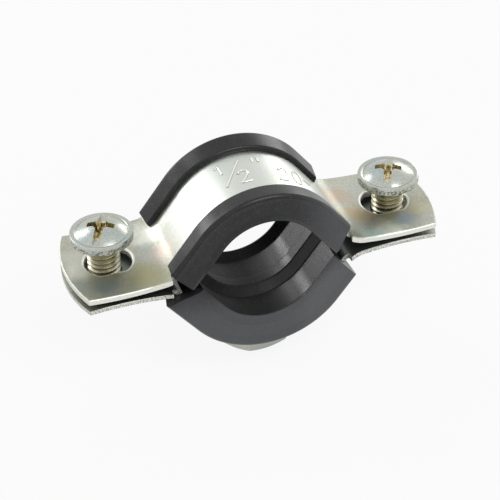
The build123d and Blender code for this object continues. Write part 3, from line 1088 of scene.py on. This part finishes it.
class CLAMP_OT_screws(bpy.types.Operator):
    """Add the two closing screws, with their threads, driver slots and cross recesses"""

    bl_idname = "pipe_clamp.screws"
    bl_label = "Closing Screws"

    def execute(self, context):
        settings = context.scene.pipe_clamp
        for side, name in ((-1, "left_screw"), (1, "right_screw")):
            piece = self.screw(settings, side, name + "_dressed")
            c = settings.screw
            under = c.left_height if side < 0 else c.right_height
            title = name.replace("_", " ").capitalize() + " zinc"
            finish = zinc_screw(title, settings.colours, side * c.spacing / 2, under, c)
            set_down(piece, name + "_body", name, finish)
        return {"FINISHED"}

    def screw(self, settings, side, name):
        """One screw, modelled at its place."""
        c = settings.screw
        x = side * c.spacing / 2
        under = c.left_height if side < 0 else c.right_height
        dome_r = c.head_radius - c.land
        rise = c.dome + c.crease
        ball_r = (dome_r**2 + rise**2) / (2 * rise)
        top = under + c.rim + c.dome
        dome = []
        for i in range(17):
            r = dome_r * (1 - i / 16)
            dome.append((x + r, 0, top - ball_r + math.sqrt(ball_r**2 - r**2)))
        bevel = 0.25 * MM
        profile = [
            (x, 0, under),
            (x + c.head_radius - bevel, 0, under),
            (x + c.head_radius, 0, under + bevel),
            (x + c.head_radius, 0, under + c.rim - bevel),
            (x + c.head_radius - 0.3 * bevel, 0, under + c.rim - 0.3 * bevel),
            (x + c.head_radius - bevel, 0, under + c.rim),
            (x + dome_r + 0.15 * MM, 0, under + c.rim - 0.4 * c.crease),
        ] + dome
        head = turned_profile(name, profile, 96, (x, 0, 0))
        cut(head, self.slot_tool(c, x, top))
        for arm in (0, 1):
            cut(head, self.cross_tool(c, x, top, arm))
        cone = [(x, 0, top + MM), (x + 1.75 * MM, 0, top + MM), (x + 0.5 * MM, 0, top - c.cross_depth)]
        cone.append((x, 0, top - c.cross_depth))
        cut(head, turned_profile("Cone", cone, 32, (x, 0, 0)))
        rounded(head, 0.09 * MM, segments=2, angle=28, weld=True)
        shank = self.thread(c, x, under)
        only(head)
        shank.select_set(True)
        bpy.ops.object.join()
        return head

    def slot_tool(self, c, x, top):
        """The bar that cuts the driver slot."""
        along = Vector((math.cos(c.driver_turn), math.sin(c.driver_turn), 0))
        across = Vector((-along.y, along.x, 0)) * (c.slot_width / 2)
        centre = Vector((x, 0, top - c.slot_depth))
        far = along * c.head_radius
        outline = [centre + far + across, centre - far + across]
        outline += [centre - far - across, centre + far - across]
        tool = drawn("Slot", outline, close=True)
        pushed((0, 0, c.slot_depth + MM))
        closed_up()
        return tool

    def cross_tool(self, c, x, top, arm):
        """A tapered blade that cuts one arm of the cross recess."""
        angle = c.driver_turn + arm * math.pi / 2
        along = Vector((math.cos(angle), math.sin(angle), 0))
        across = Vector((-along.y, along.x, 0))
        shrink = c.cross_depth * math.tan(math.radians(10))
        outline = []
        for u, v in ((1, 1), (-1, 1), (-1, -1), (1, -1)):
            reach = along * (u * c.cross_span / 2) + across * (v * c.cross_arm / 2)
            outline.append(Vector((x, 0, top)) + reach)
        tool = drawn("Blade", outline, close=True)
        pushed((0, 0, -c.cross_depth))
        ratio_u = 1 - shrink / (c.cross_span / 2)
        ratio_v = 1 - shrink / (c.cross_arm / 2)
        shape = bmesh.from_edit_mesh(tool.data)
        middle = Vector((x, 0, 0))
        for vertex in shape.verts:
            if vertex.select:
                flat = vertex.co - middle
                u = flat.dot(along) * ratio_u
                v = flat.dot(across) * ratio_v
                vertex.co = middle + along * u + across * v + Vector((0, 0, vertex.co.z))
        bmesh.update_edit_mesh(tool.data)
        pick_faces(tool, lambda centre, normal: centre.z > top - 1e-6)
        pushed((0, 0, MM))
        closed_up()
        return tool

    def thread(self, c, x, under):
        """The threaded shank: one ridge wound round a core, cut to length with a bevelled tip."""
        tip = under - c.shank
        low = tip - 1.5 * c.pitch
        turns = math.ceil(c.shank / c.pitch) + 1
        crest = 0.13 * c.pitch
        flank = 0.34 * c.pitch
        inner = c.root_radius - 0.3 * MM
        ridge = [
            (x + inner, 0, low),
            (x + c.root_radius, 0, low),
            (x + c.thread_radius, 0, low + flank),
            (x + c.thread_radius, 0, low + flank + crest),
            (x + c.root_radius, 0, low + 2 * flank + crest),
            (x + inner, 0, low + 2 * flank + crest),
            (x + inner, 0, low),
        ]
        thread = drawn("Thread", ridge)
        bpy.ops.mesh.remove_doubles(threshold=0.002 * MM)
        bpy.ops.object.mode_set(mode="OBJECT")
        only(thread)
        bpy.context.scene.cursor.location = (x, 0, 0)
        bpy.ops.object.origin_set(type="ORIGIN_CURSOR")
        modified(
            thread,
            "SCREW",
            angle=2 * math.pi,
            screw_offset=c.pitch,
            iterations=turns,
            steps=48,
            render_steps=48,
            axis="Z",
            use_merge_vertices=False,
        )
        only(thread)
        bpy.ops.object.transform_apply(location=True, rotation=False, scale=False)
        bpy.ops.object.mode_set(mode="EDIT")
        bpy.ops.mesh.select_mode(type="EDGE")
        bpy.ops.mesh.select_all(action="DESELECT")
        bpy.ops.mesh.select_non_manifold()
        bpy.ops.mesh.fill_holes(sides=8)
        closed_up()
        top = under + 0.4 * MM
        core_r = c.root_radius + 0.01 * MM
        high = top + MM
        core = [(x, 0, high), (x + core_r, 0, high), (x + core_r, 0, tip - MM), (x, 0, tip - MM)]
        cut(thread, turned_profile("Core", core, 48, (x, 0, 0)), "UNION")
        wide = c.thread_radius + 0.5 * MM
        sleeve = [
            (x, 0, top),
            (x + wide, 0, top),
            (x + wide, 0, tip + 1.2 * MM),
            (x + wide - 1.2 * MM, 0, tip),
            (x, 0, tip),
        ]
        cut(thread, turned_profile("Sleeve", sleeve, 48, (x, 0, 0)), "INTERSECT")
        welded(thread, 200)
        bpy.ops.object.shade_smooth_by_angle(angle=math.radians(25))
        return thread


def hexagon(name, settings, gap):
    """The nut's plain hexagonal bar, wider by a gap on each flat."""
    h = settings.nut
    out_r = strap_layout(settings).out_r
    corner = (h.across_flats / 2 + gap) / math.cos(math.pi / 6)
    outline = arc((0, 0), corner, h.turn, h.turn + math.radians(300), 5)
    outline = [(x, y, -out_r - h.height) for x, y, z in outline]
    bar = drawn(name, outline, close=True)
    pushed((0, 0, h.height + out_r / 2))
    closed_up()
    return bar


def saddle(settings):
    """A round bar as thick as the strap's band, along the pipe."""
    radius = strap_layout(settings).out_r
    half = settings.strap.ear_width
    bar = drawn("Saddle", [(0, -half, -radius), (0, half, -radius)])
    spun(2 * math.pi, (0, 0, 0), (0, 1, 0), 360)
    bpy.ops.mesh.select_all(action="SELECT")
    bpy.ops.mesh.remove_doubles(threshold=0.002 * MM)
    bpy.ops.mesh.select_mode(type="EDGE")
    bpy.ops.mesh.select_all(action="DESELECT")
    bpy.ops.mesh.select_non_manifold()
    bpy.ops.mesh.edge_face_add()
    closed_up()
    return bar


class CLAMP_OT_nut(bpy.types.Operator):
    """Add the hexagonal connection nut"""

    bl_idname = "pipe_clamp.nut"
    bl_label = "Connection Nut"

    def execute(self, context):
        settings = context.scene.pipe_clamp
        h = settings.nut
        o = strap_layout(settings)
        base = -o.out_r - h.height
        corner = h.across_flats / 2 / math.cos(math.pi / 6)
        nut = hexagon("connecting_nut_dressed", settings, 0)
        face_r = corner - h.corner_bevel * math.tan(math.pi / 3)
        profile = [
            (0, 0, base),
            (face_r, 0, base),
            (corner, 0, base + h.corner_bevel),
            (corner + MM, 0, base + h.corner_bevel),
            (corner + MM, 0, 0),
            (0, 0, 0),
        ]
        cut(nut, turned_profile("Corner bevel", profile, 96), "INTERSECT")
        cut(nut, saddle(settings))
        top = -o.out_r - h.thread_gap
        bore = [
            (0, 0, base - MM),
            (h.bore_radius + h.bore_bevel + MM, 0, base - MM),
            (h.bore_radius, 0, base + h.bore_bevel),
            (h.bore_radius, 0, top),
            (h.bore_radius + 2 * h.bore_bevel, 0, top + 2 * h.bore_bevel),
            (0, 0, top + 2 * h.bore_bevel),
        ]
        cut(nut, turned_profile("Bore", bore, 64))
        rounded(nut, 0.12 * MM, segments=2)
        finish = zinc_nut(settings.colours)
        set_down(nut, "lower_half", "connecting_nut", finish)
        return {"FINISHED"}


class CLAMP_OT_stage(bpy.types.Operator):
    """Add the floor, the soft lamps, the background and the camera"""

    bl_idname = "pipe_clamp.stage"
    bl_label = "Stage"

    def execute(self, context):
        settings = context.scene.pipe_clamp
        scene = context.scene
        scene.view_settings.view_transform = "Standard"
        self.floor(settings)
        self.background(settings, scene)
        self.lamp("High lamp", (-0.18, 0.27, 0.24), 0.12, 0.12, 0.13)
        self.lamp("Left lamp", (-0.233, 0.298, 0.105), 0.09, 0.09, 0.21)
        self.lamp("Right lamp", (0.29, 0.25, 0.12), 0.17, 0.15, 0.22)
        self.lamp("Front lamp", (0.09, -0.24, 0.33), 0.22, 0.22, 0.55)
        self.camera(settings, scene)
        return {"FINISHED"}

    def floor(self, settings):
        """A wide pale floor that shows white and keeps the clamp's shadow."""
        h = settings.nut
        level = -strap_layout(settings).out_r - h.height
        bpy.ops.object.select_all(action="DESELECT")
        bpy.ops.mesh.primitive_circle_add(
            vertices=96, radius=3, fill_type="NGON", location=(0, 0, level)
        )
        floor = bpy.context.object
        floor.name = "Floor"
        bpy.ops.object.transform_apply(location=True, rotation=False, scale=False)
        n = Nodes(bpy.data.materials.new("Pale floor"))
        matt = n.add("ShaderNodeBsdfDiffuse", None, Color=(*settings.colours.floor, 1))
        glow = n.add("ShaderNodeEmission", None, Color=(1, 1, 1, 1), Strength=1.0)
        mixed = n.add("ShaderNodeMixShader", None, n.plain_sight() * 0.88, matt, glow)
        n.add("ShaderNodeOutputMaterial", None, mixed)
        floor.data.materials.append(n.owner)

    def background(self, settings, scene):
        """A world that shows white, and lights the clamp a little less."""
        world = bpy.data.worlds.new("Soft room")
        scene.world = world
        n = Nodes(world)
        light = n.add("ShaderNodeBackground", None, (1, 1, 1, 1), 0.45)
        shown = n.add("ShaderNodeBackground", None, (1, 1, 1, 1), 1.0)
        mixed = n.add("ShaderNodeMixShader", None, n.plain_sight(), light, shown)
        n.add("ShaderNodeOutputWorld", None, mixed)

    def lamp(self, name, place, width, depth, power):
        """A soft square lamp that faces the clamp."""
        data = bpy.data.lights.new(name, "AREA")
        data.shape = "RECTANGLE"
        data.size = width
        data.size_y = depth
        data.energy = power
        lamp = bpy.data.objects.new(name, data)
        bpy.context.scene.collection.objects.link(lamp)
        lamp.location = place
        lamp.rotation_euler = (-Vector(place)).to_track_quat("-Z", "Y").to_euler()
        lamp.visible_camera = False

    def camera(self, settings, scene):
        """The camera, placed round its target by azimuth, elevation and roll."""
        v = settings.view
        sin_a, cos_a = math.sin(v.azimuth), math.cos(v.azimuth)
        sin_e, cos_e = math.sin(v.elevation), math.cos(v.elevation)
        back = Vector((sin_a * cos_e, -cos_a * cos_e, sin_e))
        right = Vector((cos_a, sin_a, 0))
        up = Vector((-sin_a * sin_e, cos_a * sin_e, cos_e))
        x = right * math.cos(v.roll) + up * math.sin(v.roll)
        y = up * math.cos(v.roll) - right * math.sin(v.roll)
        data = bpy.data.cameras.new("Camera")
        data.lens = v.lens
        data.sensor_width = 36
        data.clip_start = 0.01
        camera = bpy.data.objects.new("Camera", data)
        scene.collection.objects.link(camera)
        turn = Matrix((x, y, back)).transposed().to_4x4()
        place = Vector((v.target_x, 0, v.target_z)) + back * v.distance
        camera.matrix_world = Matrix.Translation(place) @ turn
        scene.camera = camera


class CLAMP_PT_sidebar(bpy.types.Panel):
    """Lists the pieces of the pipe clamp"""

    bl_idname = "CLAMP_PT_sidebar"
    bl_label = "Pipe Clamp"
    bl_space_type = "VIEW_3D"
    bl_region_type = "UI"
    bl_category = "Pipe Clamp"

    def draw(self, context):
        for operator in OPERATORS:
            self.layout.operator(operator.bl_idname)


OPERATORS = (
    CLAMP_OT_stage,
    CLAMP_OT_upper_strap,
    CLAMP_OT_size_numbers,
    CLAMP_OT_lower_strap,
    CLAMP_OT_linings,
    CLAMP_OT_screws,
    CLAMP_OT_nut,
)

GROUPS = (
    ClampStrapSizes,
    ClampLiningSizes,
    ClampScrewSizes,
    ClampNutSizes,
    ClampColours,
    ClampView,
    ClampSettings,
)


def register():
    for item in GROUPS + OPERATORS + (CLAMP_PT_sidebar,):
        bpy.utils.register_class(item)
    bpy.types.Scene.pipe_clamp = PointerProperty(type=ClampSettings)


def unregister():
    del bpy.types.Scene.pipe_clamp
    for item in reversed(GROUPS + OPERATORS + (CLAMP_PT_sidebar,)):
        bpy.utils.unregister_class(item)


def main():
    """Builds the whole clamp."""
    register()
    bpy.ops.pipe_clamp.stage()
    bpy.ops.pipe_clamp.upper_strap()
    bpy.ops.pipe_clamp.size_numbers()
    bpy.ops.pipe_clamp.lower_strap()
    bpy.ops.pipe_clamp.linings()
    bpy.ops.pipe_clamp.screws()
    bpy.ops.pipe_clamp.nut()
    bpy.ops.object.select_all(action="DESELECT")


if __name__ == "__main__":
    main()
